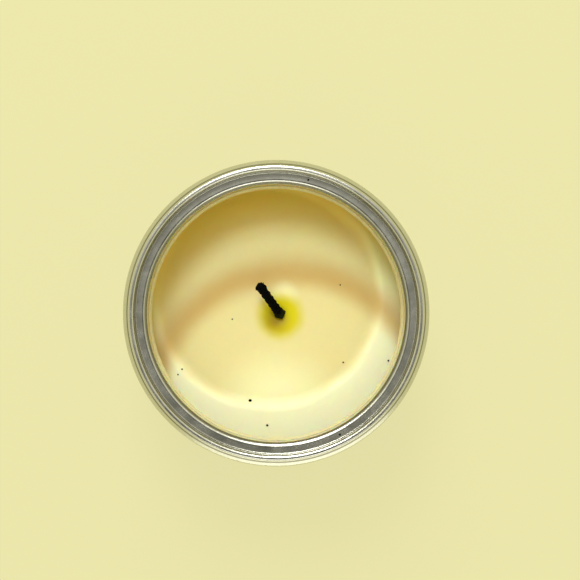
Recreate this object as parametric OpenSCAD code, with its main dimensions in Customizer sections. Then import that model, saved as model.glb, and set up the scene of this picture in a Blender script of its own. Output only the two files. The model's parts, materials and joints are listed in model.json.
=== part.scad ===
// Candle in a three-piece lever-lid tin.
// The tin is a welded body wall, necked in at both ends, with a pressed end seamed on below and a
// mouth ring seamed on above.
// The wax has burned down once, so it holds a re-set pool, a higher shelf of wax that stayed solid,
// and a charred wick that leans over.
// Origin: centre of the base. +Z is up, along the tin's axis.

/* [Tin] */
// Height of the tin, from the foot of the bottom seam to the crest of the top seam
tin_height = 52; // [44:0.5:80]
// Radius outside the wall
body_r = 39.35; // [38.6:0.05:40.5]
// Radius outside the seams
seam_r = 37.25; // [37:0.05:37.6]
// Thickness of the tinplate
plate = 0.28; // [0.24:0.01:0.3]
// Length of each double seam along the axis
seam_length = 3.1; // [3:0.1:3.4]
// Gap between two layers of a seam
seam_gap = 0.06; // [0.04:0.01:0.08]
// Radius of the bends where the wall is necked in
neck_bend_r = 1; // [0.6:0.1:1.4]

/* [Mouth ring] */
// Radius inside the throat, which the lever lid grips
throat_r = 32.6; // [31.5:0.1:33]
// Straight length of the throat wall
throat_length = 6; // [4:0.1:7]
// Depth of the flat ledge below the crest
ledge_depth = 3; // [2.8:0.1:3.6]
// Radius of the bend from the ledge into the throat
throat_bend_r = 1.15; // [0.8:0.05:1.3]
// Radius of the curl at the foot of the throat
throat_curl_r = 0.36; // [0.3:0.02:0.4]

/* [Bottom end] */
// Height of the outer panel above the surface that the tin stands on
panel_height = 3.3; // [3.2:0.1:4]
// Radius of the step in the panel
panel_step_r = 30; // [24:0.5:32]
// Height of that step
panel_step = 0.6; // [0.3:0.1:0.8]

/* [Wax] */
// Height of the re-set pool above the surface that the tin stands on
pool_height = 31; // [20:0.5:34]
// Height of the shelf above the pool
shelf_step = 1.2; // [0.5:0.1:3]
// Radius of the pool, to the middle of the slope that joins it to the shelf
pool_r = 29.5; // [24:0.5:31]
// Width of that slope
pool_slope = 4; // [1:0.5:5]
// Centre of the pool
pool_centre = [-2.3, 4.9];

/* [Wick] */
// Radius of the braid
wick_r = 0.95; // [0.6:0.05:1.2]
// Place of the wick's foot
wick_foot = [1.1, -0.3];
// Way that the charred end leans, anticlockwise from +X
lean_direction = 126; // [0:1:360]
// Lean of the charred end where it leaves the wax, from upright
lean_start = 38; // [0:1:45]
// Lean at its tip
lean_end = 67; // [45:1:80]
// Radius of the curve that the charred end follows
lean_curve_r = 22; // [12:0.5:30]
// Radius of the carbon head on the tip
head_r = 1.25; // [0.9:0.05:1.6]
// Radius of the sustainer's disc
tab_r = 10; // [7.5:0.5:15]
// Height of the sustainer's crimped neck above its disc
neck_height = 4.8; // [3:0.1:9]

/* [Soot crumbs] */
// Places of the crumbs that lie on the wax
wax_crumbs = [[-25.2, -15.0], [-26.3, -16.4], [-7, -23.4], [-2.4, -30], [18, -13.2], [30, -12.7],
    [17.2, 7.6], [-11.8, -1.6]];
// Radius of each of them
wax_crumb_r = [0.17, 0.17, 0.32, 0.24, 0.18, 0.2, 0.16, 0.16];
// Ways from the centre to the crumbs that lie on the ledge, anticlockwise from +X
ledge_crumb_ways = [76.5, -62.3];
// Radius of a crumb on the ledge
ledge_crumb_r = 0.2; // [0.1:0.05:0.3]

/* [Hidden] */
$fn = 96;

// Centre lines of a seam's five layers, outermost first
seam_pitch = plate + seam_gap;
seam_wall_r = seam_r - plate / 2;
body_hook_r = seam_wall_r - seam_pitch;
cover_hook_r = seam_wall_r - 2 * seam_pitch;
wall_r = seam_wall_r - 3 * seam_pitch;
chuck_r = seam_wall_r - 4 * seam_pitch;
wall_inner_r = body_r - plate;

crest_bend_r = 0.55;
hook_lap = 1.35;
compound_height = 0.26;
compound_width = 0.52;
slip = 0.02;
corner_r = 0.4;
body_line = body_r - plate / 2;
neck_start = seam_length + 0.5;

// Heights inside a seam, measured from its crest towards the middle of the tin
crest_line = plate / 2;
seam_foot = seam_length - plate / 2;
body_hook_top = crest_line + seam_pitch + compound_height + 2 * slip;
cover_hook_tip = body_hook_top + seam_pitch + 0.1;

ledge_line = ledge_depth + plate / 2;
throat_line_r = throat_r + plate / 2;
throat_top = ledge_line + throat_bend_r;
throat_foot = throat_top + throat_length;

panel_line = panel_height;
inner_panel_line = panel_line - panel_step;
inner_panel_top = inner_panel_line + plate / 2;

sticker_r = tab_r - 0.6;
sticker_height = 0.6;
tab_bottom = inner_panel_top + sticker_height + 2 * slip;
neck_inner_r = wick_r + 0.03;
neck_outer_r = neck_inner_r + 0.45;
neck_top = tab_bottom + plate + neck_height;
braid_bottom = tab_bottom + plate + 0.05;
braid_top = pool_height - 0.4;
core_r = 0.35;
foot_well_r = 1.75;
foot_well_depth = 0.7;

wax_crumb_names = [for (i = [0 : len(wax_crumbs) - 1]) str("wax_crumb_", i + 1)];
ledge_crumb_names = [for (i = [0 : len(ledge_crumb_ways) - 1]) str("ledge_crumb_", i + 1)];

// Points of an arc in the (radius, height) plane
function arc(centre, r, from, to, steps = 8) =
    [for (i = [0 : steps]) let (a = from + (to - from) * i / steps)
        centre + r * [cos(a), sin(a)]];

// Unit normal to the left of the line from p to q
function left(p, q) = [p.y - q.y, q.x - p.x] / norm(q - p);

// Point on one side of a bent sheet: side is half the sheet's thickness, signed
function sheet_point(path, i, side) =
    let (last = len(path) - 1,
        before = left(path[max(i - 1, 0)], path[max(i, 1)]),
        after = left(path[min(i, last - 1)], path[min(i + 1, last)]))
    path[i] + side * (before + after) / (1 + before * after);

// Outline of a sheet that follows a path at its middle
function sheet(path, thickness) = concat(
    [for (i = [0 : len(path) - 1]) sheet_point(path, i, thickness / 2)],
    [for (i = [len(path) - 1 : -1 : 0]) sheet_point(path, i, -thickness / 2)]);

// A seam's end sheet: cover hook, seam wall and crest, to the top of the chuck wall.
// Heights run down from the crest at zero.
function seam_cover() = concat(
    [[cover_hook_r, -cover_hook_tip]],
    arc([body_hook_r, -(seam_foot - seam_pitch)], seam_pitch, 180, 360),
    arc([seam_wall_r - crest_bend_r, -(crest_line + crest_bend_r)], crest_bend_r, 0, 90),
    arc([chuck_r + crest_bend_r, -(crest_line + crest_bend_r)], crest_bend_r, 90, 180));

// Foot of the slope at 45 degrees where the wall widens from a seam to its full radius
function neck_foot() = neck_start + 2 * neck_bend_r * sin(45)
    + body_line - wall_r - 2 * neck_bend_r * (1 - cos(45));

// The body wall's own hook in that seam, from its tip over the top and down the neck to full radius
function body_hook() = concat(
    [[body_hook_r, -(body_hook_top + hook_lap)]],
    arc([cover_hook_r, -(body_hook_top + seam_pitch)], seam_pitch, 0, 180),
    arc([wall_r + neck_bend_r, -neck_start], neck_bend_r, 180, 225, 4),
    arc([body_line - neck_bend_r, -neck_foot()], neck_bend_r, 45, 0, 4));

// Raises or turns over a path: a seam at the top hangs from the crest, one at the foot stands on zero
function at_top(path) = [for (p = path) [p.x, tin_height + p.y]];
function at_foot(path) = [for (p = path) [p.x, -p.y]];
function backwards(path) = [for (i = [len(path) - 1 : -1 : 0]) path[i]];

// Mouth ring below its crest: chuck wall, flat ledge, throat and curl
function mouth_path() = concat(
    arc([chuck_r - corner_r, -(ledge_line - corner_r)], corner_r, 0, -90, 4),
    arc([throat_line_r + throat_bend_r, -throat_top], throat_bend_r, 90, 180, 10),
    arc([throat_line_r + throat_curl_r, -throat_foot], throat_curl_r, 180, 400, 12));

// Bottom end above its seam: chuck wall, outer panel, step and inner panel
function panel_path() = concat(
    arc([chuck_r - corner_r, -(panel_line - corner_r)], corner_r, 0, -90, 4),
    [[panel_step_r + panel_step, -panel_line],
        [panel_step_r, -inner_panel_line],
        [0, -inner_panel_line]]);

// Height of the wax at a distance from the pool's centre
function wax_height(d) =
    let (t = min(max((d - pool_r) / pool_slope + 0.5, 0), 1))
    pool_height + shelf_step * (1 - cos(180 * t)) / 2;

module sheet_ring(path) {
    rotate_extrude()
        polygon(sheet(path, plate));
}

module body_wall() {
    color("silver")
        sheet_ring(concat(at_top(body_hook()), backwards(at_foot(body_hook()))));
}

module mouth_ring() {
    color("gainsboro")
        sheet_ring(at_top(concat(seam_cover(), mouth_path())));
}

module bottom_end() {
    color("darkgray")
        sheet_ring(at_foot(concat(seam_cover(), panel_path())));
}

// Sealing compound between a seam's crest and the body hook
module seam_compound() {
    translate([0, 0, crest_line + plate / 2 + slip])
        difference() {
            cylinder(h = compound_height, r = cover_hook_r + compound_width / 2);
            translate([0, 0, -1])
                cylinder(h = compound_height + 2, r = cover_hook_r - compound_width / 2);
        }
}

module top_seam_compound() {
    color("slategray")
        translate([0, 0, tin_height])
            mirror([0, 0, 1])
                seam_compound();
}

module bottom_seam_compound() {
    color("slategray")
        seam_compound();
}

// Everything above the wax: the pool with its slope up to the shelf
module above_wax() {
    steps = 12;
    slope_start = pool_r - pool_slope / 2;
    top = pool_height + shelf_step;
    translate([pool_centre.x, pool_centre.y, 0])
        rotate_extrude()
            polygon(concat(
                [[0, top + 1], [0, pool_height]],
                [for (i = [0 : steps]) let (d = slope_start + pool_slope * i / steps)
                    [d, wax_height(d)]],
                [[pool_r + pool_slope / 2, top + 1]]));
}

module wax_fill() {
    panel_top = panel_line + plate / 2 + slip;
    neck_inner_line = wall_r - plate / 2 - slip;
    slope_rise = (plate / 2 + slip) * tan(22.5);
    color("lemonchiffon")
        difference() {
            rotate_extrude()
                polygon([[0, inner_panel_top + slip],
                    [panel_step_r - 0.3, inner_panel_top + slip],
                    [panel_step_r + panel_step, panel_top],
                    [chuck_r - corner_r, panel_top],
                    [neck_inner_line, neck_start + slope_rise],
                    [wall_inner_r - slip, neck_foot() + slope_rise],
                    [wall_inner_r - slip, pool_height + shelf_step],
                    [0, pool_height + shelf_step]]);
            above_wax();
            translate([wick_foot.x, wick_foot.y, 0]) {
                cylinder(h = tab_bottom + plate + slip, r = tab_r + slip);
                cylinder(h = neck_top + slip, r = neck_outer_r + slip);
                cylinder(h = tin_height, r = wick_r + slip);
                translate([0, 0, pool_height - foot_well_depth])
                    cylinder(h = foot_well_depth + 1, r1 = wick_r + 0.35, r2 = foot_well_r + 0.6);
            }
        }
}

// Braided cotton sleeve of the wick, where the wax still holds it
module wick_braid() {
    color("ivory")
        translate([wick_foot.x, wick_foot.y, braid_bottom])
            difference() {
                cylinder(h = braid_top - braid_bottom, r = wick_r);
                translate([0, 0, -1])
                    cylinder(h = braid_top - braid_bottom + 2, r = core_r + slip);
            }
}

// Paper filament inside the braid
module wick_core() {
    color("tan")
        translate([wick_foot.x, wick_foot.y, braid_bottom])
            cylinder(h = braid_top - braid_bottom, r = core_r);
}

// Burnt end of the wick: it leaves the wax, leans over in an arc and ends in a carbon head
module wick_char() {
    under = asin(2 * wick_r / lean_curve_r);
    arc_height = lean_curve_r * sin(lean_start);
    color("black")
        translate([wick_foot.x, wick_foot.y, braid_top + slip])
            rotate([0, 0, lean_direction])
                intersection() {
                    translate([lean_curve_r * cos(lean_start), 0, -arc_height])
                        rotate([90, 0, 180])
                            union() {
                                rotate([0, 0, lean_start - under])
                                    rotate_extrude(angle = lean_end - lean_start + under)
                                        translate([lean_curve_r, 0])
                                            circle(r = wick_r);
                                rotate([0, 0, lean_end])
                                    translate([lean_curve_r, 0, 0])
                                        sphere(r = head_r);
                            }
                    translate([-tin_height, -tin_height, 0])
                        cube(2 * tin_height);
                }
}

// Tinplate tab with the neck that is crimped round the wick
module wick_sustainer() {
    color("lightgray")
        translate([wick_foot.x, wick_foot.y, tab_bottom])
            difference() {
                union() {
                    cylinder(h = plate, r = tab_r);
                    cylinder(h = neck_top - tab_bottom, r = neck_outer_r);
                }
                translate([0, 0, plate])
                    cylinder(h = neck_height + 1, r = neck_inner_r);
            }
}

module wick_sticker() {
    color("white")
        translate([wick_foot.x, wick_foot.y, inner_panel_top + slip])
            cylinder(h = sticker_height, r = sticker_r);
}

module soot_crumb(r) {
    color("dimgray")
        sphere(r = r, $fn = 24);
}

module wax_crumb(i) {
    place = wax_crumbs[i];
    r = wax_crumb_r[i];
    translate([place.x, place.y, wax_height(norm(place - pool_centre)) + r + slip])
        soot_crumb(r);
}

module ledge_crumb(i) {
    ledge_middle = (chuck_r - corner_r + throat_line_r + throat_bend_r) / 2;
    way = ledge_crumb_ways[i];
    translate([ledge_middle * cos(way), ledge_middle * sin(way),
            tin_height - ledge_depth + ledge_crumb_r + slip])
        soot_crumb(ledge_crumb_r);
}

body_wall();
mouth_ring();
bottom_end();
top_seam_compound();
bottom_seam_compound();
wax_fill();
wick_braid();
wick_core();
wick_char();
wick_sustainer();
wick_sticker();
for (i = [0 : len(wax_crumbs) - 1])
    wax_crumb(i);
for (i = [0 : len(ledge_crumb_ways) - 1])
    ledge_crumb(i);
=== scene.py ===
import json
import math

import bmesh
import bpy
from mathutils import Matrix, Vector, noise


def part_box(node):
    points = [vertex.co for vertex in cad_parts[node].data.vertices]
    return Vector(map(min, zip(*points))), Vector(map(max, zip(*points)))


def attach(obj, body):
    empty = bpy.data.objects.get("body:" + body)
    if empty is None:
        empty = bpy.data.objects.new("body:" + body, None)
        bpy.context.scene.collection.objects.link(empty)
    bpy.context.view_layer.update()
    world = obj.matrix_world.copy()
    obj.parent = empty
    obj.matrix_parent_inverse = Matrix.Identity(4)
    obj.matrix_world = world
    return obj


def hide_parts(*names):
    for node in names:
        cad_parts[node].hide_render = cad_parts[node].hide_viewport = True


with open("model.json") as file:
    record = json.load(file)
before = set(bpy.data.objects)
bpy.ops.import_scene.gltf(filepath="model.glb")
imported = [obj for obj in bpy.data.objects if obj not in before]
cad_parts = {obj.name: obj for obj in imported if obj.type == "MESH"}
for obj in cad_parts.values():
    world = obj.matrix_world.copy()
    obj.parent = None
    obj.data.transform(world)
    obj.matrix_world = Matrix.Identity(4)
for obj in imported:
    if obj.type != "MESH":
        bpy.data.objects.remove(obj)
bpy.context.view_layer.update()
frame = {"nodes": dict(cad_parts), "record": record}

bl_info = {
    "name": "Part-burned candle in a lever-lid tin",
    "version": (1, 0, 0),
    "blender": (4, 5, 0),
    "location": "3D View > Sidebar > Candle",
    "description": "Builds a tinplate candle tin with its wax, braided wick and soot crumbs",
    "category": "Add Mesh",
}

MM = 0.001
BODY = "root"
TURNS = 240

RING_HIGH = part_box("mouth_ring")[1]
WALL_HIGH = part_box("body_wall")[1]
WAX_LOW, WAX_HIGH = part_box("wax_fill")
TAB_LOW, TAB_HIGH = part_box("wick_sustainer")
BRAID_LOW, BRAID_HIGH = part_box("wick_braid")
CORE_LOW, CORE_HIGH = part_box("wick_core")
MOUTH = next(m for m in frame["record"]["mounts"] if m["name"] == "mouth")

CREST = RING_HIGH.z
SEAM_R = RING_HIGH.x
BODY_R = WALL_HIGH.x
THROAT_R = MOUTH["dims"]["r_mm"] * MM
THROAT_LENGTH = MOUTH["dims"]["length_mm"] * MM
CREST_BEND = 0.55 * MM
CORNER = 0.4 * MM
HOOK_LAP = 1.35 * MM
COVER_HOOK_TIP = 1.22 * MM
SLIP = 0.02 * MM
WICK_FOOT = (BRAID_LOW + BRAID_HIGH) / 2
WICK_R = (BRAID_HIGH.x - BRAID_LOW.x) / 2
TAB_PLATE_TOP = TAB_LOW.z + 0.28 * MM
TAB_NECK_R = WICK_R + 0.48 * MM

RIM_WOBBLE = 1.6 * MM
# Painted shade: dark colour laid along the tin's creases, standing in for their shadow and dark
# reflection.
CREASE_SHADE = "#3A3624"
PALE_ASH = "#08080C"


# ---------------------------------------------------------------- settings

class TinSettings(bpy.types.PropertyGroup):
    """Sheet, seams and mouth of the tin"""

    plate: bpy.props.FloatProperty(
        name="Plate", description="Thickness of the tinplate", default=0.28 * MM, unit="LENGTH")
    seam_gap: bpy.props.FloatProperty(
        name="Seam gap", description="Gap between two layers of a seam",
        default=0.06 * MM, unit="LENGTH")
    seam_length: bpy.props.FloatProperty(
        name="Seam length", description="Length of a double seam along the axis",
        default=3.1 * MM, unit="LENGTH")
    ledge_depth: bpy.props.FloatProperty(
        name="Ledge depth", description="Depth of the flat ledge below the crest",
        default=3.0 * MM, unit="LENGTH")
    neck_bend_r: bpy.props.FloatProperty(
        name="Neck bend", description="Radius of the bends where the wall is necked in",
        default=1.0 * MM, unit="LENGTH")
    throat_bend_r: bpy.props.FloatProperty(
        name="Throat bend", description="Radius of the bend from the ledge into the throat",
        default=1.15 * MM, unit="LENGTH")
    throat_curl_r: bpy.props.FloatProperty(
        name="Throat curl", description="Radius of the curl at the foot of the throat",
        default=0.36 * MM, unit="LENGTH")
    panel_height: bpy.props.FloatProperty(
        name="Panel height", description="Height of the bottom panel above the table",
        default=3.3 * MM, unit="LENGTH")
    panel_step_r: bpy.props.FloatProperty(
        name="Panel step radius", description="Radius of the step in the bottom panel",
        default=30 * MM, unit="LENGTH")
    panel_step: bpy.props.FloatProperty(
        name="Panel step", description="Height of the step in the bottom panel",
        default=0.6 * MM, unit="LENGTH")
    colour: bpy.props.StringProperty(
        name="Tin colour", description="Reflection colour of bright tin as sRGB hex",
        default="#D6D6CB")
    weld_way: bpy.props.FloatProperty(
        name="Weld place", description="Way to the side weld, in degrees anticlockwise from +X",
        default=215)
    weld_width: bpy.props.FloatProperty(
        name="Weld width", description="Width of the side weld", default=1.1 * MM, unit="LENGTH")
    weld_colour: bpy.props.StringProperty(
        name="Weld colour", description="Reflection colour of the side weld as sRGB hex",
        default="#857F72")
    compound_colour: bpy.props.StringProperty(
        name="Compound colour", description="Colour of the sealing compound as sRGB hex",
        default="#6E7275")


class WaxSettings(bpy.types.PropertyGroup):
    """Shape and colours of the wax"""

    pool_height: bpy.props.FloatProperty(
        name="Pool height", description="Height of the re-set pool above the table",
        default=31 * MM, unit="LENGTH")
    shelf_step: bpy.props.FloatProperty(
        name="Shelf step", description="Height of the shelf above the pool",
        default=1.2 * MM, unit="LENGTH")
    pool_r: bpy.props.FloatProperty(
        name="Pool radius", description="Radius of the pool, to the middle of its slope",
        default=29.5 * MM, unit="LENGTH")
    pool_slope: bpy.props.FloatProperty(
        name="Pool slope", description="Width of the slope from pool to shelf",
        default=4 * MM, unit="LENGTH")
    pool_centre: bpy.props.FloatVectorProperty(
        name="Pool centre", description="Centre of the re-set pool", size=2,
        default=(-2.3 * MM, 4.9 * MM), unit="LENGTH")
    film_foot: bpy.props.FloatProperty(
        name="Film thickness", description="Thickness of the wax film at the foot of the throat",
        default=0.26 * MM, unit="LENGTH")
    film_height: bpy.props.FloatProperty(
        name="Film height", description="How far the wax film reaches up the throat",
        default=3.2 * MM, unit="LENGTH")
    film_colour: bpy.props.StringProperty(
        name="Film colour", description="Colour of the wax film as sRGB hex", default="#F4E9B6")
    # The next two settings place the arc that bounds the painted shade at the back of the wax, where the
    # rim's shadow falls.
    shade_edge_centre: bpy.props.FloatVectorProperty(
        name="Back centre", description="Centre of the arc that bounds the amber wax at the back",
        size=2, default=(2.4 * MM, -9.7 * MM), unit="LENGTH")
    shade_edge_r: bpy.props.FloatProperty(
        name="Back radius", description="Radius of that arc", default=31.9 * MM, unit="LENGTH")
    # The next two settings place the painted shadow band that crosses the pool.
    band_shadow_centre: bpy.props.FloatVectorProperty(
        name="Band centre", description="Centre of the amber band across the pool",
        size=2, default=(3.5 * MM, -26.2 * MM), unit="LENGTH")
    band_shadow_r: bpy.props.FloatProperty(
        name="Band radius", description="Radius of the middle of that band",
        default=37.3 * MM, unit="LENGTH")
    pool_colour: bpy.props.StringProperty(
        name="Pool colour", description="Colour of the re-set wax as sRGB hex", default="#E6DCA2")
    shelf_colour: bpy.props.StringProperty(
        name="Shelf colour", description="Colour of the wax that stayed solid as sRGB hex",
        default="#FFFFD4")
    # Painted shade: colour of the wax in the rim's shadow at the back.
    painted_shade_colour: bpy.props.StringProperty(
        name="Amber colour", description="Colour of the wax that yellowed as sRGB hex",
        default="#FFD65A")
    # Painted shadow: colour of the band across the pool.
    band_shadow_colour: bpy.props.StringProperty(
        name="Band colour", description="Colour of the amber band as sRGB hex", default="#CDA75C")
    halo_colour: bpy.props.StringProperty(
        name="Halo colour", description="Colour of the clear wax round the wick as sRGB hex",
        default="#DACE00")
    # Painted shadow: colour of the wick's shadow on the wax at its foot.
    wick_shadow_colour: bpy.props.StringProperty(
        name="Oily colour", description="Colour of the oily wax at the wick's foot as sRGB hex",
        default="#A28200")


class WickSettings(bpy.types.PropertyGroup):
    """Braid and burnt end of the wick"""

    lean_direction: bpy.props.FloatProperty(
        name="Lean direction", description="Way that the burnt end leans, anticlockwise from +X",
        default=math.radians(126), unit="ROTATION")
    lean_start: bpy.props.FloatProperty(
        name="Lean at the wax", description="Lean where the wick leaves the wax, from upright",
        default=math.radians(38), unit="ROTATION")
    lean_end: bpy.props.FloatProperty(
        name="Lean at the tip", description="Lean of the tip, from upright",
        default=math.radians(67), unit="ROTATION")
    lean_curve_r: bpy.props.FloatProperty(
        name="Lean curve", description="Radius of the curve that the burnt end follows",
        default=22 * MM, unit="LENGTH")
    braid_pitch: bpy.props.FloatProperty(
        name="Braid pitch", description="Length in which a yarn goes once round the braid",
        default=6.8 * MM, unit="LENGTH")
    char_swell: bpy.props.FloatProperty(
        name="Char swell", description="How much thicker burning made the braid", default=1.2)
    foot_flare: bpy.props.FloatProperty(
        name="Foot flare", description="How much wider the burnt end is at the wax", default=0.3)
    char_colour: bpy.props.StringProperty(
        name="Char colour", description="Colour of the burnt cotton as sRGB hex",
        default="#020203")
    soaked_colour: bpy.props.StringProperty(
        name="Soaked char colour", description="Colour of char that is soaked in wax as sRGB hex",
        default="#2A2E14")
    cotton_colour: bpy.props.StringProperty(
        name="Cotton colour", description="Colour of the waxed cotton as sRGB hex",
        default="#E9DFB8")
    paper_colour: bpy.props.StringProperty(
        name="Paper colour", description="Colour of the waxed paper core as sRGB hex",
        default="#C9A873")
    foam_colour: bpy.props.StringProperty(
        name="Foam colour", description="Colour of the sticker under the tab as sRGB hex",
        default="#EDECE6")


class StageSettings(bpy.types.PropertyGroup):
    """Floor, light and camera"""

    camera_distance: bpy.props.FloatProperty(
        name="Camera distance", description="Distance from the camera to the crest of the tin",
        default=0.28, unit="LENGTH")
    field: bpy.props.FloatProperty(
        name="Field", description="Width that the camera sees at the crest",
        default=0.145, unit="LENGTH")
    floor_colour: bpy.props.StringProperty(
        name="Floor colour", description="Colour of the floor as sRGB hex", default="#E8E3AB")


# ---------------------------------------------------------------- shared tools

def linear(text):
    """sRGB hex to linear RGBA"""
    parts = [int(text[i:i + 2], 16) / 255 for i in (1, 3, 5)]
    return [p / 12.92 if p <= 0.04045 else ((p + 0.055) / 1.055) ** 2.4 for p in parts] + [1.0]


def add(tree, kind, inputs=None, **settings):
    """Adds a node to a node tree: its settings first, then each input as a value or a link"""
    new = tree.nodes.new(kind)
    for key, value in settings.items():
        setattr(new, key, value)
    for key, value in (inputs or {}).items():
        if isinstance(value, bpy.types.NodeSocket):
            tree.links.new(value, new.inputs[key])
        else:
            new.inputs[key].default_value = value
    return new


def ramp(tree, factor, stops):
    """Colour ramp through (place, colour) stops; a colour is a grey level or an sRGB hex"""
    new = add(tree, "ShaderNodeValToRGB", {"Fac": factor})
    points = new.color_ramp.elements
    while len(points) < len(stops):
        points.new(0.5)
    for point, (place, colour) in zip(points, stops):
        point.position = place
        point.color = linear(colour) if isinstance(colour, str) else (colour,) * 3 + (1.0,)
    return new.outputs["Color"]


def new_material(name):
    """Empty material with a Principled surface; returns the material, its tree and the shader"""
    made = bpy.data.materials.new(name)
    made.use_nodes = True
    tree = made.node_tree
    tree.nodes.clear()
    shader = add(tree, "ShaderNodeBsdfPrincipled")
    add(tree, "ShaderNodeOutputMaterial", {"Surface": shader.outputs["BSDF"]})
    return made, tree, shader


def set_inputs(tree, shader, values):
    """Sets or links inputs of a shader that is already there"""
    for key, value in values.items():
        if isinstance(value, bpy.types.NodeSocket):
            tree.links.new(value, shader.inputs[key])
        else:
            shader.inputs[key].default_value = value


def place(tree, location=(0, 0, 0), scale=(1, 1, 1)):
    """Object coordinates, moved so that location is the origin, then scaled"""
    coordinates = add(tree, "ShaderNodeTexCoord")
    moved = [-v * s for v, s in zip(location, scale)]
    return add(tree, "ShaderNodeMapping", {
        "Vector": coordinates.outputs["Object"], "Location": moved, "Scale": scale}).outputs["Vector"]


def arc(centre, r, start, end, steps):
    """Points of an arc in the (radius, height) plane; angles in degrees"""
    turns = [math.radians(start + (end - start) * i / steps) for i in range(steps + 1)]
    return [Vector((centre[0] + r * math.cos(a), centre[1] + r * math.sin(a))) for a in turns]


def left(p, q):
    """Unit normal to the left of the line from p to q"""
    d = (q - p).normalized()
    return Vector((-d.y, d.x))


def sheet_outline(path, thickness):
    """Closed outline of a bent sheet whose middle follows a path"""
    path = [Vector(p) for p in path]
    last = len(path) - 1
    sides = ([], [])
    for i, p in enumerate(path):
        before = left(path[max(i - 1, 0)], path[max(i, 1)])
        after = left(path[min(i, last - 1)], path[min(i + 1, last)])
        offset = (before + after) * (thickness / 2 / (1 + before.dot(after)))
        sides[0].append(p + offset)
        sides[1].append(p - offset)
    return sides[0] + sides[1][::-1]


def lathe(outline, turns=TURNS, sectors=12):
    """Spins a closed outline of (radius, height) points round the tin's axis: one sector is
    spun, then copied round and joined"""
    bm = bmesh.new()
    ring = [bm.verts.new((p[0], 0, p[1])) for p in outline]
    edges = [bm.edges.new(pair) for pair in zip(ring, ring[1:] + ring[:1])]
    bmesh.ops.spin(bm, geom=ring + edges, cent=(0, 0, 0), axis=(0, 0, 1),
                   angle=math.tau / sectors, steps=turns // sectors)
    first = bm.verts[:] + bm.edges[:] + bm.faces[:]
    for k in range(1, sectors):
        copied = bmesh.ops.duplicate(bm, geom=first)["geom"]
        bmesh.ops.rotate(bm, verts=[g for g in copied if isinstance(g, bmesh.types.BMVert)],
                         cent=(0, 0, 0), matrix=Matrix.Rotation(math.tau * k / sectors, 3, "Z"))
    bmesh.ops.remove_doubles(bm, verts=bm.verts, dist=1e-7)
    bmesh.ops.recalc_face_normals(bm, faces=bm.faces)
    return bm


def smooth_below(bm, angle):
    """Smooth shading, with an edge kept sharp where its faces meet at more than the angle"""
    for face in bm.faces:
        face.smooth = True
    for edge in bm.edges:
        edge.smooth = edge.calc_face_angle(0) < angle


def settle_order(bm):
    """Sorts points, edges and faces by place, so that their order is the same on every run"""
    for items, where in ((bm.verts, lambda v: v.co[:]),
                         (bm.edges, lambda e: sorted(v.co[:] for v in e.verts)),
                         (bm.faces, lambda f: sorted(v.co[:] for v in f.verts))):
        rank = {item: i for i, item in enumerate(sorted(items, key=where))}
        items.sort(key=rank.get)
        items.index_update()


def finish_piece(bm, name, material, nodes=()):
    """Turns a bmesh into a piece that rides on the tin and stands for CAD nodes"""
    settle_order(bm)
    mesh = bpy.data.meshes.new(name)
    bm.to_mesh(mesh)
    bm.free()
    mesh.materials.append(material)
    piece = bpy.data.objects.new(name, mesh)
    bpy.context.scene.collection.objects.link(piece)
    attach(piece, BODY)
    if nodes:
        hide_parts(*nodes)
    return piece


def paint_node(name, material):
    """Gives a CAD node that stays a better material"""
    mesh = frame["nodes"][name].data
    mesh.materials.clear()
    mesh.materials.append(material)


# ---------------------------------------------------------------- tin

def seam_layers(tin):
    """Middle radii of a seam's five layers, outermost first"""
    pitch = tin.plate + tin.seam_gap
    return [SEAM_R - tin.plate / 2 - pitch * i for i in range(5)]


def seam_cover(tin):
    """Middle line of an end's cover hook, seam wall and crest, downwards from a crest at zero"""
    seam_wall, body_hook, cover_hook, _wall, chuck = seam_layers(tin)
    pitch = tin.plate + tin.seam_gap
    crest = tin.plate / 2
    foot = -(tin.seam_length - crest - pitch)
    bend = CREST_BEND
    return ([Vector((cover_hook, -COVER_HOOK_TIP))]
            + arc((body_hook, foot), pitch, 180, 360, 10)
            + arc((seam_wall - bend, -crest - bend), bend, 0, 90, 12)
            + arc((chuck + bend, -crest - bend), bend, 90, 180, 12))


def neck(tin):
    """Depths below a seam's crest where the wall's neck starts to widen and where it is full"""
    wall = seam_layers(tin)[3]
    start = tin.seam_length + 0.5 * MM
    bend = tin.neck_bend_r
    return start, (start + 2 * bend * math.sin(math.pi / 4) + BODY_R - tin.plate / 2 - wall
                   - 2 * bend * (1 - math.cos(math.pi / 4)))


def body_hook(tin):
    """Middle line of the wall from its hook's tip, over the top and down the neck, below a crest
    at zero"""
    _seam_wall, body_hook_r, cover_hook, wall, _chuck = seam_layers(tin)
    pitch = tin.plate + tin.seam_gap
    top = WALL_HIGH.z - CREST - tin.plate / 2 - pitch
    bend = tin.neck_bend_r
    full = BODY_R - tin.plate / 2
    neck_start, neck_foot = neck(tin)
    return ([Vector((body_hook_r, top + pitch - HOOK_LAP))]
            + arc((cover_hook, top), pitch, 0, 180, 10)
            + arc((wall + bend, -neck_start), bend, 180, 225, 8)
            + arc((full - bend, -neck_foot), bend, 45, 0, 10))


def mouth_path(tin):
    """Middle line of the ring inside its crest: chuck wall, ledge, throat and curl"""
    chuck = seam_layers(tin)[4]
    ledge = -(tin.ledge_depth + tin.plate / 2)
    throat = THROAT_R + tin.plate / 2
    throat_top = ledge - tin.throat_bend_r
    throat_foot = throat_top - THROAT_LENGTH
    wall = 14
    return (arc((chuck - CORNER, ledge + CORNER), CORNER, 0, -90, 8)
            + arc((throat + tin.throat_bend_r, throat_top), tin.throat_bend_r, 90, 180, 18)
            + [Vector((throat, throat_top - THROAT_LENGTH * i / wall)) for i in range(1, wall)]
            + arc((throat + tin.throat_curl_r, throat_foot), tin.throat_curl_r, 180, 400, 16))


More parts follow.
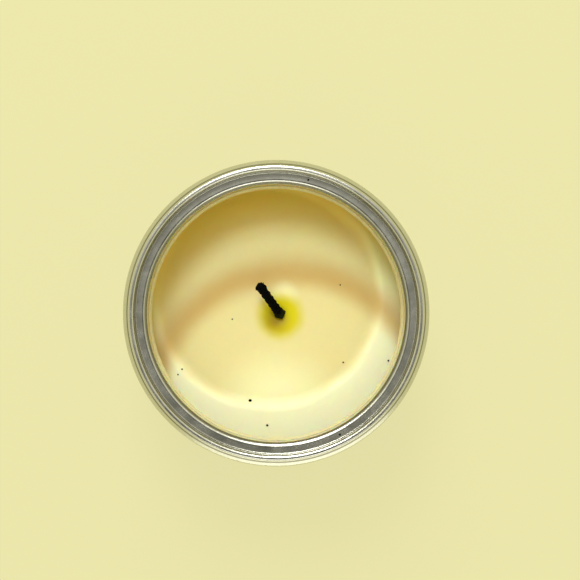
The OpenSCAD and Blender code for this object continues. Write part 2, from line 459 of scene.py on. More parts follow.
def mix(tree, factor, a, b):
    """Mixes two colours"""
    return add(tree, "ShaderNodeMix", {"Factor": factor, "A": a, "B": b},
               data_type="RGBA").outputs["Result"]


def product(tree, a, b):
    """Multiplies two values"""
    return add(tree, "ShaderNodeMath", {0: a, 1: b}, operation="MULTIPLY").outputs["Value"]


def groove(tree, r, width):
    """Mask of a narrow band at a radius from the tin's axis: 1 in its middle, 0 outside"""
    way = add(tree, "ShaderNodeVectorMath", {0: place(tree, scale=(1, 1, 0))}, operation="LENGTH")
    off = add(tree, "ShaderNodeMath", {0: way.outputs["Value"], 1: r}, operation="SUBTRACT")
    gap = add(tree, "ShaderNodeMath", {0: off.outputs["Value"]}, operation="ABSOLUTE")
    return add(tree, "ShaderNodeMapRange", {
        "Value": gap.outputs["Value"], "From Min": width, "From Max": 0.3 * width},
        interpolation_type="SMOOTHSTEP").outputs["Result"]


def tinplate(name, colour, rolled, roughness=(0.2, 0.34), residue=0.0, shaded_creases=()):
    """Bright tinplate: steel sheet, cold rolled, tinned and pressed. The eye gets a soft mirror
    with fine rolling lines one way, faint smears from handling and tiny scuffs. Residue is
    spilled wax that dried in drops, which makes highlights bead. Each (radius, width) pair in
    the crease list is a bend painted with a thin dark line: painted shade and painted dark
    reflection in the crease."""
    made, tree, shader = new_material(name)
    lines = add(tree, "ShaderNodeTexNoise", {
        "Vector": place(tree, scale=rolled), "Scale": 1.0, "Detail": 3.0, "Roughness": 0.6})
    smears = add(tree, "ShaderNodeTexNoise", {
        "Vector": place(tree), "Scale": 240.0, "Detail": 4.0, "Roughness": 0.5})
    scuffs = add(tree, "ShaderNodeTexNoise", {
        "Vector": place(tree), "Scale": 2600.0, "Detail": 2.0, "Roughness": 0.7})
    drops = add(tree, "ShaderNodeTexVoronoi", {
        "Vector": place(tree), "Scale": 900.0}, feature="SMOOTH_F1")
    gloss = add(tree, "ShaderNodeMapRange", {
        "Value": smears.outputs["Fac"], "From Min": 0.35, "From Max": 0.65,
        "To Min": roughness[0], "To Max": roughness[1]})
    duller = [c * 0.88 for c in linear(colour)[:3]] + [1.0]
    tone = mix(tree, lines.outputs["Fac"], linear(colour), duller)
    # Painted shade and painted dark reflection: a thin dark line along each crease.
    for r, width in shaded_creases:
        tone = mix(tree, product(tree, groove(tree, r, width), 0.65), tone, linear(CREASE_SHADE))
    height = add(tree, "ShaderNodeMath", {
        0: lines.outputs["Fac"], 1: scuffs.outputs["Fac"]}, operation="ADD")
    beads = add(tree, "ShaderNodeMath", {
        0: drops.outputs["Distance"], 1: residue, 2: height.outputs["Value"]},
        operation="MULTIPLY_ADD")
    bump = add(tree, "ShaderNodeBump", {
        "Height": beads.outputs["Value"], "Strength": 0.12, "Distance": 0.02 * MM})
    set_inputs(tree, shader, {
        "Base Color": tone, "Metallic": 1.0,
        "Roughness": gloss.outputs["Result"], "Normal": bump.outputs["Normal"]})
    return made


def seam_compound(tin):
    """Water-based sealing compound, dried to rubber: grey, matte and slightly lumpy."""
    made, tree, shader = new_material("dried seam compound")
    lumps = add(tree, "ShaderNodeTexNoise", {
        "Vector": place(tree), "Scale": 900.0, "Detail": 4.0, "Roughness": 0.6})
    dark = [c * 0.6 for c in linear(tin.compound_colour)[:3]] + [1.0]
    tone = add(tree, "ShaderNodeMix", {
        "Factor": lumps.outputs["Fac"], "A": linear(tin.compound_colour), "B": dark},
        data_type="RGBA")
    bump = add(tree, "ShaderNodeBump", {
        "Height": lumps.outputs["Fac"], "Strength": 0.5, "Distance": 0.05 * MM})
    set_inputs(tree, shader, {
        "Base Color": tone.outputs["Result"], "Roughness": 0.75, "Normal": bump.outputs["Normal"]})
    return made


class CANDLE_OT_mouth_ring(bpy.types.Operator):
    """Mouth ring: rolled crest, chuck wall, flat ledge and throat"""
    bl_idname = "candle.mouth_ring"
    bl_label = "Mouth ring"

    def execute(self, context):
        tin = context.scene.candle_tin
        path = [Vector((p.x, p.y + CREST)) for p in seam_cover(tin) + mouth_path(tin)]
        bm = lathe(sheet_outline(path, tin.plate))
        smooth_below(bm, math.radians(40))
        ledge_outer = seam_layers(tin)[4] - tin.plate / 2
        bend_outer = THROAT_R + tin.plate / 2 + tin.throat_bend_r
        # Bends that get a painted dark line of shade and dark reflection: the ledge's outer corner, the
        # start of the throat bend and the lower throat bend.
        shaded_creases = [(ledge_outer + 0.04 * MM, 0.28 * MM), (bend_outer - 0.08 * MM, 0.12 * MM),
                   (THROAT_R + 0.45 * MM, 0.42 * MM)]
        material = tinplate("bright tinplate, ring", tin.colour, (30, 30, 2500),
                            roughness=(0.2, 0.28), residue=3.0, shaded_creases=shaded_creases)
        finish_piece(bm, "mouth_ring_tinplate", material, ["mouth_ring"])
        return {"FINISHED"}


class CANDLE_OT_body_wall(bpy.types.Operator):
    """Side wall, necked in at both ends, with its hooks inside the seams and its side weld"""
    bl_idname = "candle.body_wall"
    bl_label = "Body wall"

    def execute(self, context):
        tin = context.scene.candle_tin
        hook = body_hook(tin)
        path = ([Vector((p.x, CREST + p.y)) for p in hook]
                + [Vector((p.x, -p.y)) for p in reversed(hook)])
        bm = lathe(sheet_outline(path, tin.plate))
        smooth_below(bm, math.radians(40))
        # The wall gets a painted dark line of shade on its neck, just under the seam.
        finish_piece(bm, "body_wall_tinplate",
                     tinplate("bright tinplate, wall", tin.colour, (900, 900, 6),
                              shaded_creases=[(BODY_R - 1.3 * MM, 0.35 * MM)]),
                     ["body_wall"])

        low = -hook[-1].y + 0.6 * MM
        high = CREST + hook[-1].y - 0.6 * MM
        bm = bmesh.new()
        bmesh.ops.create_grid(bm, x_segments=6, y_segments=60, size=0.5)
        for v in bm.verts:
            ripple = noise.noise(Vector((v.co.x * 3, v.co.y * 60, 0)))
            angle = math.radians(tin.weld_way) + v.co.x * tin.weld_width / BODY_R
            swell = math.cos(math.pi * v.co.x) * 0.05 * MM * (1 + 0.3 * ripple)
            r = BODY_R + swell - 0.01 * MM
            v.co = (r * math.cos(angle), r * math.sin(angle), low + (v.co.y + 0.5) * (high - low))
        made = bmesh.ops.extrude_face_region(bm, geom=bm.faces[:])
        for v in (g for g in made["geom"] if isinstance(g, bmesh.types.BMVert)):
            v.co.x *= 1 - 0.1 * MM / BODY_R
            v.co.y *= 1 - 0.1 * MM / BODY_R
        bmesh.ops.recalc_face_normals(bm, faces=bm.faces)
        smooth_below(bm, math.radians(50))
        finish_piece(bm, "side_weld",
                     tinplate("resistance weld on tinplate", tin.weld_colour, (40, 40, 2400),
                              roughness=(0.38, 0.5)))
        return {"FINISHED"}


class CANDLE_OT_bottom_end(bpy.types.Operator):
    """Pressed bottom with a stepped panel, and the compound inside both seams"""
    bl_idname = "candle.bottom_end"
    bl_label = "Bottom end"

    def execute(self, context):
        tin = context.scene.candle_tin
        chuck = seam_layers(tin)[4]
        inner = -(tin.panel_height - tin.panel_step)
        panel = (arc((chuck - CORNER, -(tin.panel_height - CORNER)), CORNER, 0, -90, 8)
                 + [Vector((tin.panel_step_r + tin.panel_step, -tin.panel_height)),
                    Vector((tin.panel_step_r, inner)), Vector((0, inner))])
        path = [Vector((p.x, -p.y)) for p in seam_cover(tin) + panel]
        bm = lathe(sheet_outline(path, tin.plate))
        smooth_below(bm, math.radians(40))
        finish_piece(bm, "bottom_end_tinplate",
                     tinplate("satin tinplate, end", tin.colour, (900, 6, 900), (0.3, 0.45)),
                     ["bottom_end"])
        material = seam_compound(tin)
        for name in ("top_seam_compound", "bottom_seam_compound"):
            paint_node(name, material)
        return {"FINISHED"}


# ---------------------------------------------------------------- wax

def wax_surface(wax, x, y):
    """Height of the wax at a place: pool, slope, shelf, and the well round the wick"""
    rough = noise.noise(Vector((x, y, 0)) * 90)
    d = math.hypot(x - wax.pool_centre[0], y - wax.pool_centre[1]) + 0.35 * MM * rough
    t = min(max((d - wax.pool_r) / wax.pool_slope + 0.5, 0), 1)
    shelf = wax.shelf_step * (1 - math.cos(math.pi * t)) / 2
    from_wick = math.hypot(x - WICK_FOOT.x, y - WICK_FOOT.y)
    well = -0.5 * MM * math.exp(-(from_wick / (2.4 * MM)) ** 2)
    wave = 0.05 * MM * noise.noise(Vector((x, y, 3)) * 160)
    return wax.pool_height + shelf + well + wave


def near(tree, centre, start, end, wobble):
    """Mask that is 1 nearer to a centre than end, and 0 beyond start; wobble moves its rim"""
    way = add(tree, "ShaderNodeVectorMath", {
        0: place(tree, (centre[0], centre[1], 0), (1, 1, 0))}, operation="LENGTH")
    moved = add(tree, "ShaderNodeMath", {
        0: wobble, 1: RIM_WOBBLE, 2: way.outputs["Value"]}, operation="MULTIPLY_ADD")
    return add(tree, "ShaderNodeMapRange", {
        "Value": moved.outputs["Value"], "From Min": start, "From Max": end},
        interpolation_type="SMOOTHSTEP").outputs["Result"]


def wax_material(wax):
    """Soy and paraffin candle wax, cast and once re-melted: milky and translucent, so that light
    bleeds through it. The clear wax round the wick is deep yellow, and the pool turns paler
    towards the front. Painted shade turns the back amber, a painted shadow band crosses the pool,
    the wick's painted shadow lies at its foot and a painted highlight lies just behind it."""
    made, tree, shader = new_material("re-set candle wax")
    wobble = add(tree, "ShaderNodeTexNoise", {
        "Vector": place(tree), "Scale": 130.0, "Detail": 2.0}).outputs["Fac"]
    pool = near(tree, wax.pool_centre, wax.pool_r + 2.6 * MM, wax.pool_r - 0.4 * MM, wobble)
    front = near(tree, (0, -27 * MM), 22 * MM, 6 * MM, wobble)
    reset = mix(tree, product(tree, front, 0.6), linear(wax.pool_colour), linear(wax.shelf_colour))
    body = mix(tree, pool, linear(wax.shelf_colour), reset)

    # Painted shade: beyond the arc, the wax at the back is painted amber, where the rim's shadow falls.
    back = near(tree, wax.shade_edge_centre, wax.shade_edge_r + 11 * MM, wax.shade_edge_r - 2 * MM, wobble)
    amber = mix(tree, back, linear(wax.painted_shade_colour), body)
    # Painted shadow: a band across the pool, where the rim's thin shadow falls.
    band_outer = near(tree, wax.band_shadow_centre, wax.band_shadow_r + 7.5 * MM, wax.band_shadow_r + 0.4 * MM, wobble)
    band_inner = near(tree, wax.band_shadow_centre, wax.band_shadow_r + 0.4 * MM, wax.band_shadow_r - 5.5 * MM, wobble)
    ring = add(tree, "ShaderNodeMath", {0: band_outer, 1: band_inner}, operation="SUBTRACT")
    band_shadowed = mix(tree, product(tree, ring.outputs["Value"], 0.75), amber, linear(wax.band_shadow_colour))

    # Painted highlight: a pale spot on the wax just behind the wick.
    painted_highlight = near(tree, (WICK_FOOT.x + 1.2 * MM, WICK_FOOT.y + 5.2 * MM), 5.5 * MM, 1.0 * MM, wobble)
    highlighted = mix(tree, product(tree, painted_highlight, 0.7), band_shadowed, linear(wax.shelf_colour))
    halo = near(tree, (WICK_FOOT.x, WICK_FOOT.y - 0.4 * MM), 8.8 * MM, 4.2 * MM, wobble)
    yellow = mix(tree, halo, highlighted, linear(wax.halo_colour))
    # Painted shadow: the wick's shadow on the wax, just in front of and left of its foot.
    shadowed = near(tree, (WICK_FOOT.x - 1.2 * MM, WICK_FOOT.y - 1.6 * MM), 6.0 * MM, 1.0 * MM, wobble)
    colour = mix(tree, product(tree, shadowed, 0.85), yellow, linear(wax.wick_shadow_colour))

    grain = add(tree, "ShaderNodeTexNoise", {"Vector": place(tree), "Scale": 1500.0, "Detail": 3.0})
    bump = add(tree, "ShaderNodeBump", {
        "Height": grain.outputs["Fac"], "Strength": 0.12, "Distance": 0.04 * MM})
    set_inputs(tree, shader, {
        "Base Color": colour, "Roughness": 0.45, "IOR": 1.44,
        "Subsurface Weight": 0.7, "Subsurface Radius": (1.0, 0.62, 0.2),
        "Subsurface Scale": 2.4 * MM, "Specular IOR Level": 0.3,
        "Normal": bump.outputs["Normal"]})
    shader.subsurface_method = "RANDOM_WALK"
    return made


class CANDLE_OT_wax(bpy.types.Operator):
    """Wax with its re-set pool, shelf, hollow for tab and wick, and a thin film in the throat"""
    bl_idname = "candle.wax"
    bl_label = "Wax"

    def execute(self, context):
        tin = context.scene.candle_tin
        wax = context.scene.candle_wax
        side = WAX_HIGH.x
        neck_r = seam_layers(tin)[3] - tin.plate / 2 - SLIP
        neck_start, neck_foot = neck(tin)
        rise = (tin.plate / 2 + SLIP) * math.tan(math.pi / 8)
        hole = WICK_R + SLIP
        tab_r = (TAB_HIGH.x - TAB_LOW.x) / 2 + SLIP
        collar = TAB_NECK_R + SLIP
        well_foot = wax.pool_height - 0.7 * MM
        steps = 100
        top = [Vector((hole + (side - hole) * (i / steps) ** 1.1, WAX_HIGH.z))
               for i in range(1, steps + 1)]
        rest = [(side, neck_foot + rise), (neck_r, neck_start + rise),
                (neck_r, tin.panel_height + tin.plate / 2 + SLIP + 0.1 * MM),
                (tin.panel_step_r + tin.panel_step, tin.panel_height + tin.plate / 2 + SLIP),
                (tin.panel_step_r, WAX_LOW.z), (tab_r, WAX_LOW.z), (tab_r, TAB_PLATE_TOP + SLIP),
                (collar, TAB_PLATE_TOP + SLIP), (collar, TAB_HIGH.z + SLIP),
                (hole, TAB_HIGH.z + SLIP), (hole, well_foot)]
        bm = lathe(top + [Vector(p) for p in rest])
        for v in bm.verts:
            r = math.hypot(v.co.x, v.co.y)
            t = min(max((r - tab_r) / (side - tab_r - 6 * MM), 0), 1)
            v.co.x += WICK_FOOT.x * (1 - t)
            v.co.y += WICK_FOOT.y * (1 - t)
            if v.co.z > WAX_HIGH.z - 0.01 * MM:
                v.co.z = wax_surface(wax, v.co.x, v.co.y)
        bmesh.ops.recalc_face_normals(bm, faces=bm.faces)
        smooth_below(bm, math.radians(40))
        material = wax_material(wax)
        finish_piece(bm, "wax_candle", material, ["wax_fill"])

        foot = CREST - tin.ledge_depth - tin.plate / 2 - tin.throat_bend_r - THROAT_LENGTH
        top = foot + wax.film_height
        inside = THROAT_R - SLIP
        outline = ([(inside, top), (inside - 0.06 * MM, top)]
                   + [(inside - 0.06 * MM - wax.film_foot * (i / 10) ** 0.7,
                       top + (foot - top) * i / 10) for i in range(1, 11)]
                   + [(inside - 0.6 * wax.film_foot, foot - 0.25 * MM), (inside, foot - 0.1 * MM)])
        bm = lathe([Vector(p) for p in outline])
        for v in bm.verts:
            r = math.hypot(v.co.x, v.co.y)
            if r < inside - 0.02 * MM:
                drip = 1 - 0.006 * noise.noise(Vector((v.co.x, v.co.y, 0.3 * v.co.z)) * 420) ** 2
                v.co.x *= drip
                v.co.y *= drip
        smooth_below(bm, math.radians(60))
        film = soft_material("thin wax film", wax.film_colour, 1100.0, 0.4)
        finish_piece(bm, "wax_film_in_throat", film)
        return {"FINISHED"}


# ---------------------------------------------------------------- wick

def lean_point(wick, a):
    """Point of the burnt end's middle line where its lean from upright is a"""
    foot = Vector((WICK_FOOT.x, WICK_FOOT.y, BRAID_HIGH.z + SLIP))
    lean = Vector((math.cos(wick.lean_direction), math.sin(wick.lean_direction), 0))
    up = Vector((0, 0, 1))
    r = wick.lean_curve_r
    start = wick.lean_start
    return foot + r * ((math.cos(start) - math.cos(a)) * lean + (math.sin(a) - math.sin(start)) * up)


def yarn_shape(name, r, plies, depth):
    """Closed profile curve of a yarn, with one lobe for each of its plies"""
    curve = bpy.data.curves.new(name, "CURVE")
    curve.dimensions = "2D"
    spline = curve.splines.new("POLY")
    count = plies * 4
    spline.points.add(count - 1)
    for i, point in enumerate(spline.points):
        a = math.tau * i / count
        size = r * (1 + depth * math.cos(plies * a))
        point.co = (size * math.cos(a), size * math.sin(a), 0, 1)
    spline.use_cyclic_u = True
    made = bpy.data.objects.new(name, curve)
    bpy.context.scene.collection.objects.link(made)
    return made


def round_braid(bm, points, axes, sizes, r, pitch, each_way=4):
    """Adds a round braid to a bmesh: yarns wind both ways round a middle line, over and under
    each other. Sizes scales the braid along its length."""
    profile = yarn_shape("yarn profile", 0.4 * r, 4, 0.1)
    curve = bpy.data.curves.new("yarns", "CURVE")
    curve.dimensions = "3D"
    curve.bevel_mode = "OBJECT"
    curve.bevel_object = profile
    curve.use_fill_caps = True
    for k in range(2 * each_way):
        hand = 1 if k % 2 else -1
        spline = curve.splines.new("POLY")
        spline.points.add(len(points) - 1)
        length = 0.0
        for i, point in enumerate(spline.points):
            if i:
                length += (points[i] - points[i - 1]).length
            turn = hand * math.tau * (length / pitch + (k // 2) / each_way)
            weave = hand * math.cos(math.tau * each_way * length / pitch)
            out = (0.6 + 0.1 * weave) * r * sizes[i]
            side, front = axes[i]
            point.co = (*(points[i] + out * (side * math.sin(turn) + front * math.cos(turn))), 1)
            point.tilt = 2.5 * turn
            point.radius = sizes[i]
    temp = bpy.data.objects.new("yarns", curve)
    bpy.context.scene.collection.objects.link(temp)
    bpy.context.view_layer.update()
    mesh = bpy.data.meshes.new_from_object(
        temp.evaluated_get(bpy.context.evaluated_depsgraph_get()))
    bm.from_mesh(mesh)
    bpy.data.meshes.remove(mesh)
    bpy.data.objects.remove(temp)
    bpy.data.objects.remove(profile)


def lump(bm, centre, r, rough, seed, flat=1.0, detail=3):
    """Adds an uneven lump of carbon to a bmesh"""
    made = bmesh.ops.create_icosphere(bm, subdivisions=detail, radius=r)["verts"]
    for v in made:
        direction = v.co.normalized()
        n = noise.fractal(direction * 2.2 + Vector((seed, seed * 1.7, 0)), 0.8, 2.1, 4)
        v.co *= 1 + rough * n
        v.co.z *= flat
        v.co += centre
    return made


def char_material(name, wick, soaked):
    """Charred cotton and carbon crust. It is almost black and dry, and hard crests catch small
    glints. Soaked char, near the wax, is dark olive."""
    made, tree, shader = new_material(name)
    fibres = add(tree, "ShaderNodeTexNoise", {
        "Vector": place(tree), "Scale": 5200.0, "Detail": 4.0, "Roughness": 0.7})
    crust = add(tree, "ShaderNodeTexVoronoi", {"Vector": place(tree), "Scale": 2600.0})
    ash = ramp(tree, fibres.outputs["Fac"], [(0.45, wick.char_colour), (0.85, PALE_ASH)])
    way = add(tree, "ShaderNodeVectorMath", {
        0: place(tree, (WICK_FOOT.x, WICK_FOOT.y, BRAID_HIGH.z))}, operation="LENGTH")
    wet = add(tree, "ShaderNodeMapRange", {
        "Value": way.outputs["Value"], "From Min": 2.4 * MM, "From Max": 1.2 * MM,
        "To Max": soaked}).outputs["Result"]
    heights = add(tree, "ShaderNodeMath", {
        0: fibres.outputs["Fac"], 1: crust.outputs["Distance"]}, operation="ADD")
    bump = add(tree, "ShaderNodeBump", {
        "Height": heights.outputs["Value"], "Strength": 0.6, "Distance": 0.06 * MM})
    gloss = add(tree, "ShaderNodeMapRange", {
        "Value": fibres.outputs["Fac"], "To Min": 0.5, "To Max": 0.9})
    set_inputs(tree, shader, {
        "Base Color": mix(tree, wet, ash, linear(wick.soaked_colour)),
        "Roughness": gloss.outputs["Result"], "Specular IOR Level": 0.05,
        "Normal": bump.outputs["Normal"]})
    return made


def soft_material(name, colour, fibre_scale, roughness):
    """Soft pale stuff: cotton yarn or twisted paper soaked in wax, or a thin film of wax. It is
    slightly shiny, with fine streaks upwards, and a little light passes through it."""
    made, tree, shader = new_material(name)
    fibres = add(tree, "ShaderNodeTexNoise", {
        "Vector": place(tree, scale=(1, 1, 0.35)), "Scale": fibre_scale, "Detail": 4.0, "Roughness": 0.65})
    dark = [c * 0.7 for c in linear(colour)[:3]] + [1.0]
    bump = add(tree, "ShaderNodeBump", {
        "Height": fibres.outputs["Fac"], "Strength": 0.5, "Distance": 0.04 * MM})
    set_inputs(tree, shader, {
        "Base Color": mix(tree, fibres.outputs["Fac"], linear(colour), dark),
        "Roughness": roughness, "Subsurface Weight": 0.3, "Subsurface Radius": (1.0, 0.8, 0.5),
        "Subsurface Scale": 0.5 * MM, "Normal": bump.outputs["Normal"]})
    return made


class CANDLE_OT_burnt_wick(bpy.types.Operator):
    """Burnt end of the wick: a charred braid, flared at the wax, with a carbon head"""
    bl_idname = "candle.burnt_wick"
    bl_label = "Burnt wick"

    def execute(self, context):
        wick = context.scene.candle_wick
        steps = 90
        start = wick.lean_start
        points = [lean_point(wick, start + (wick.lean_end - start) * i / steps)
                  for i in range(steps + 1)]
        lean = Vector((math.cos(wick.lean_direction), math.sin(wick.lean_direction), 0))
        side = lean.cross(Vector((0, 0, 1)))
        axes, sizes = [], []
        for i in range(steps + 1):
            along = (points[min(i + 1, steps)] - points[max(i - 1, 0)]).normalized()
            axes.append((side, along.cross(side)))
            from_foot = (points[i] - points[0]).length
            sizes.append(1 + wick.foot_flare * math.exp(-(from_foot / (1.5 * MM)) ** 2))
        bm = bmesh.new()
        swollen = wick.char_swell * WICK_R
        round_braid(bm, points, axes, sizes, swollen, wick.braid_pitch)
        for i in range(0, steps, 6):
            lump(bm, points[i], 0.7 * swollen * sizes[i], 0.2, 0.9 * i, detail=2)
        tip = points[-1]
        lump(bm, tip, 1.2 * MM, 0.5, 1.3)
        for across, back, r in ((0.8, -0.5, 0.6), (-0.75, 0.1, 0.55), (0.1, 0.75, 0.6)):
            spot = tip + side * across * MM + lean * back * MM
            lump(bm, spot, r * MM, 0.5, 4.2 + across, detail=2)
        bmesh.ops.recalc_face_normals(bm, faces=bm.faces)
        smooth_below(bm, math.radians(60))
        finish_piece(bm, "burnt_wick_braid", char_material("charred cotton braid", wick, 0.8),
                     ["wick_char"])
        return {"FINISHED"}


class CANDLE_OT_wick_below(bpy.types.Operator):
    """Wick inside the wax: cotton braid and its twisted paper core"""
    bl_idname = "candle.wick_below"
    bl_label = "Wick below the wax"

    def execute(self, context):
        wick = context.scene.candle_wick
        steps = 160
        points = [Vector((WICK_FOOT.x, WICK_FOOT.y,
                          BRAID_LOW.z + (BRAID_HIGH.z - BRAID_LOW.z) * i / steps))
                  for i in range(steps + 1)]
        axes = [(Vector((1, 0, 0)), Vector((0, 1, 0)))] * (steps + 1)
        bm = bmesh.new()
        round_braid(bm, points, axes, [0.96] * (steps + 1), WICK_R, wick.braid_pitch)
        bmesh.ops.recalc_face_normals(bm, faces=bm.faces)
        smooth_below(bm, math.radians(60))
        finish_piece(bm, "wick_braid_cotton",
                     soft_material("waxed cotton yarn", wick.cotton_colour, 3800.0, 0.55),
                     ["wick_braid"])

        core_r = (CORE_HIGH.x - CORE_LOW.x) / 2
        bm = bmesh.new()
        made = bmesh.ops.create_circle(bm, cap_ends=False, segments=24, radius=core_r)["verts"]
        for v in made:
            a = math.atan2(v.co.y, v.co.x)
            v.co *= 0.52 + 0.06 * math.cos(3 * a)
            v.co += Vector((WICK_FOOT.x, WICK_FOOT.y, CORE_LOW.z))
        bmesh.ops.spin(bm, geom=bm.verts[:] + bm.edges[:], cent=(WICK_FOOT.x, WICK_FOOT.y, 0),
                       axis=(0, 0, 1), angle=math.tau * 6, steps=120,
                       dvec=(0, 0, (CORE_HIGH.z - CORE_LOW.z) / 120))
        ends = [e for e in bm.edges if e.is_boundary]
        bmesh.ops.holes_fill(bm, edges=ends, sides=0)
        bmesh.ops.recalc_face_normals(bm, faces=bm.faces)
        smooth_below(bm, math.radians(60))
        finish_piece(bm, "wick_core_paper",
                     soft_material("twisted kraft paper cord", wick.paper_colour, 2600.0, 0.7),
                     ["wick_core"])
        return {"FINISHED"}


class CANDLE_OT_tab(bpy.types.Operator):
    """Tab that holds the wick upright: ribbed disc, crimped neck and foam sticker"""
    bl_idname = "candle.tab"
    bl_label = "Wick tab"

    def execute(self, context):
        tin = context.scene.candle_tin
        wick = context.scene.candle_wick
        tab_r = (TAB_HIGH.x - TAB_LOW.x) / 2
        low = TAB_LOW.z
        sheet = TAB_PLATE_TOP - low
        bore = WICK_R + 0.03 * MM
        outline = ([(0, low), (tab_r - 0.1 * MM, low), (tab_r, low + 0.1 * MM),
                    (tab_r, low + sheet - 0.1 * MM), (tab_r - 0.1 * MM, low + sheet)]
                   + [(TAB_NECK_R + (tab_r - TAB_NECK_R) * (1 - i / 12),
                       low + sheet - 0.04 * MM * math.sin(math.pi * i / 12) ** 2)
                      for i in range(1, 12)]
                   + [(TAB_NECK_R, low + sheet + (TAB_HIGH.z - low - sheet) * i / 16)
                      for i in range(17)]
                   + [(bore, TAB_HIGH.z - (TAB_HIGH.z - low - sheet) * i / 16) for i in range(17)]
                   + [(0, low + sheet)])
        bm = lathe([Vector(p) for p in outline], turns=96)
        for v in bm.verts:
            r = math.hypot(v.co.x, v.co.y)
            height = (v.co.z - low - sheet) / (TAB_HIGH.z - low - sheet)
            if height > 0.05 and r > bore + 0.2 * MM:
                pinch = math.cos(2 * math.atan2(v.co.y, v.co.x)) ** 8
                shrink = 1 - 0.12 * pinch * math.sin(math.pi * min(height * 1.3, 1)) ** 2
                v.co.x *= shrink
                v.co.y *= shrink
            v.co.x += WICK_FOOT.x
            v.co.y += WICK_FOOT.y
        bmesh.ops.recalc_face_normals(bm, faces=bm.faces)
        smooth_below(bm, math.radians(40))
        finish_piece(bm, "wick_tab_tinplate",
                     tinplate("tinned steel tab", tin.colour, (700, 12, 700), (0.3, 0.42)),
                     ["wick_sustainer"])

        foam, tree, shader = new_material("closed-cell foam sticker")
        cells = add(tree, "ShaderNodeTexVoronoi", {"Vector": place(tree), "Scale": 3200.0})
        grey = [c * 0.75 for c in linear(wick.foam_colour)[:3]] + [1.0]
        bump = add(tree, "ShaderNodeBump", {
            "Height": cells.outputs["Distance"], "Strength": 0.6, "Distance": 0.06 * MM})
        set_inputs(tree, shader, {
            "Base Color": mix(tree, cells.outputs["Distance"], linear(wick.foam_colour), grey),
            "Roughness": 0.85, "Normal": bump.outputs["Normal"]})
        paint_node("wick_sticker", foam)
        return {"FINISHED"}


class CANDLE_OT_soot_crumbs(bpy.types.Operator):
    """Soot crumbs on the wax and on the ledge"""
    bl_idname = "candle.soot_crumbs"
    bl_label = "Soot crumbs"

    def execute(self, context):
        material = char_material("dry soot crumb", context.scene.candle_wick, 0.0)
        names = [n for n in frame["nodes"] if "crumb" in n]
        for i, name in enumerate(sorted(names)):
            low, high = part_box(name)
            centre = (low + high) / 2
            r = (high.x - low.x) / 2
            bm = bmesh.new()
            lump(bm, Vector((centre.x, centre.y, low.z + 0.6 * r)), 1.25 * r, 0.4, 3.1 * i, 0.6, 2)
            bmesh.ops.recalc_face_normals(bm, faces=bm.faces)
            smooth_below(bm, math.radians(50))
            finish_piece(bm, name + "_soot", material, [name])
        return {"FINISHED"}


# ---------------------------------------------------------------- stage

def lamp(name, width, height, power, azimuth, elevation, distance, colour="#FFFFFF"):
    """Soft light that shines at the tin's mouth; azimuth is anticlockwise from +X, in degrees"""
    data = bpy.data.lights.new(name, "AREA")
    data.shape = "RECTANGLE"
    data.size = width
    data.size_y = height
    data.energy = power
    data.color = linear(colour)[:3]
    lamp_object = bpy.data.objects.new(name, data)
    a, e = math.radians(azimuth), math.radians(elevation)
    way = Vector((math.cos(a) * math.cos(e), math.sin(a) * math.cos(e), math.sin(e)))
    lamp_object.location = Vector((0, 0, CREST)) + way * distance
    lamp_object.rotation_euler = way.to_track_quat("Z", "Y").to_euler()
    bpy.context.scene.collection.objects.link(lamp_object)
    return lamp_object


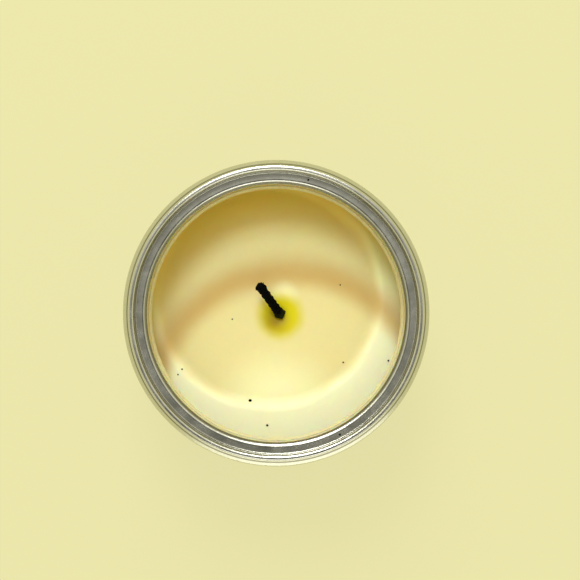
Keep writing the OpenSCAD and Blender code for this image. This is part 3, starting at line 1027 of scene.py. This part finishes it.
class CANDLE_OT_stage(bpy.types.Operator):
    """Pale floor, soft light and the overhead camera"""
    bl_idname = "candle.stage"
    bl_label = "Stage"

    def execute(self, context):
        scene = context.scene
        stage = scene.candle_stage
        scene.view_settings.view_transform = "Standard"

        bm = bmesh.new()
        bmesh.ops.create_grid(bm, x_segments=1, y_segments=1, size=1.5)
        mesh = bpy.data.meshes.new("floor")
        bm.to_mesh(mesh)
        bm.free()
        floor = bpy.data.objects.new("floor", mesh)
        made, tree, shader = new_material("pale paper floor")
        set_inputs(tree, shader, {
            "Base Color": [c * 0.15 for c in linear(stage.floor_colour)[:3]] + [1.0],
            "Roughness": 0.9, "Specular IOR Level": 0.0,
            "Emission Color": linear(stage.floor_colour),
            "Emission Strength": 0.85})
        mesh.materials.append(made)
        scene.collection.objects.link(floor)

        lamp("high key", 0.3, 0.22, 2.7, 100, 58, 0.8)
        lamp("low key", 0.3, 0.14, 1.9, 98, 37, 0.8)
        lamp("fill", 0.4, 0.3, 0.72, -86, 60, 0.8)
        lamp("front card", 0.5, 0.1, 0.28, -82, -2, 0.3)

        world = bpy.data.worlds.new("soft room")
        scene.world = world
        world.use_nodes = True
        tree = world.node_tree
        tree.nodes.clear()
        coordinates = add(tree, "ShaderNodeTexCoord")
        axes = add(tree, "ShaderNodeSeparateXYZ", {"Vector": coordinates.outputs["Generated"]})
        walls = ramp(tree, axes.outputs["Z"], [(0.0, "#D8D2A4"), (0.3, "#E9E4BE"), (0.85, "#E4DFBA")])
        across = add(tree, "ShaderNodeMapRange", {
            "Value": axes.outputs["Y"], "From Min": -0.17, "From Max": 0.17})
        ceiling = ramp(tree, across.outputs["Result"],
                       [(0.0, "#080807"), (0.5, "#717066"), (1.0, "#D0CEC4")])
        overhead = add(tree, "ShaderNodeMapRange", {
            "Value": axes.outputs["Z"], "From Min": 0.84, "From Max": 0.95},
            interpolation_type="SMOOTHSTEP")
        background = add(tree, "ShaderNodeBackground", {
            "Color": mix(tree, overhead.outputs["Result"], walls, ceiling), "Strength": 1.0})
        add(tree, "ShaderNodeOutputWorld", {"Surface": background.outputs["Background"]})

        data = bpy.data.cameras.new("overhead camera")
        data.sensor_width = 36
        data.lens = 36 * stage.camera_distance / stage.field
        data.shift_x = 0.0238
        data.shift_y = 0.04
        camera = bpy.data.objects.new("overhead camera", data)
        camera.location = (0, 0, CREST + stage.camera_distance)
        scene.collection.objects.link(camera)
        scene.camera = camera
        return {"FINISHED"}


class CANDLE_PT_parts(bpy.types.Panel):
    """Lists the settings and the pieces"""
    bl_idname = "CANDLE_PT_parts"
    bl_label = "Candle tin"
    bl_space_type = "VIEW_3D"
    bl_region_type = "UI"
    bl_category = "Candle"

    def draw(self, context):
        for group in GROUPS:
            settings = getattr(context.scene, group)
            box = self.layout.box()
            for key in settings.__annotations__:
                box.prop(settings, key)
        for operator in OPERATORS:
            self.layout.operator(operator.bl_idname)


OPERATORS = (CANDLE_OT_mouth_ring, CANDLE_OT_body_wall, CANDLE_OT_bottom_end, CANDLE_OT_wax,
             CANDLE_OT_burnt_wick, CANDLE_OT_wick_below, CANDLE_OT_tab, CANDLE_OT_soot_crumbs,
             CANDLE_OT_stage)
GROUPS = {"candle_tin": TinSettings, "candle_wax": WaxSettings, "candle_wick": WickSettings,
          "candle_stage": StageSettings}


def register():
    for cls in (*GROUPS.values(), *OPERATORS, CANDLE_PT_parts):
        bpy.utils.register_class(cls)
    for name, group in GROUPS.items():
        setattr(bpy.types.Scene, name, bpy.props.PointerProperty(type=group))


def unregister():
    for name in GROUPS:
        delattr(bpy.types.Scene, name)
    for cls in (CANDLE_PT_parts, *reversed(OPERATORS), *reversed(GROUPS.values())):
        bpy.utils.unregister_class(cls)


def main():
    register()
    bpy.ops.candle.mouth_ring()
    bpy.ops.candle.body_wall()
    bpy.ops.candle.bottom_end()
    bpy.ops.candle.wax()
    bpy.ops.candle.burnt_wick()
    bpy.ops.candle.wick_below()
    bpy.ops.candle.tab()
    bpy.ops.candle.soot_crumbs()
    bpy.ops.candle.stage()


if __name__ == "__main__":
    main()
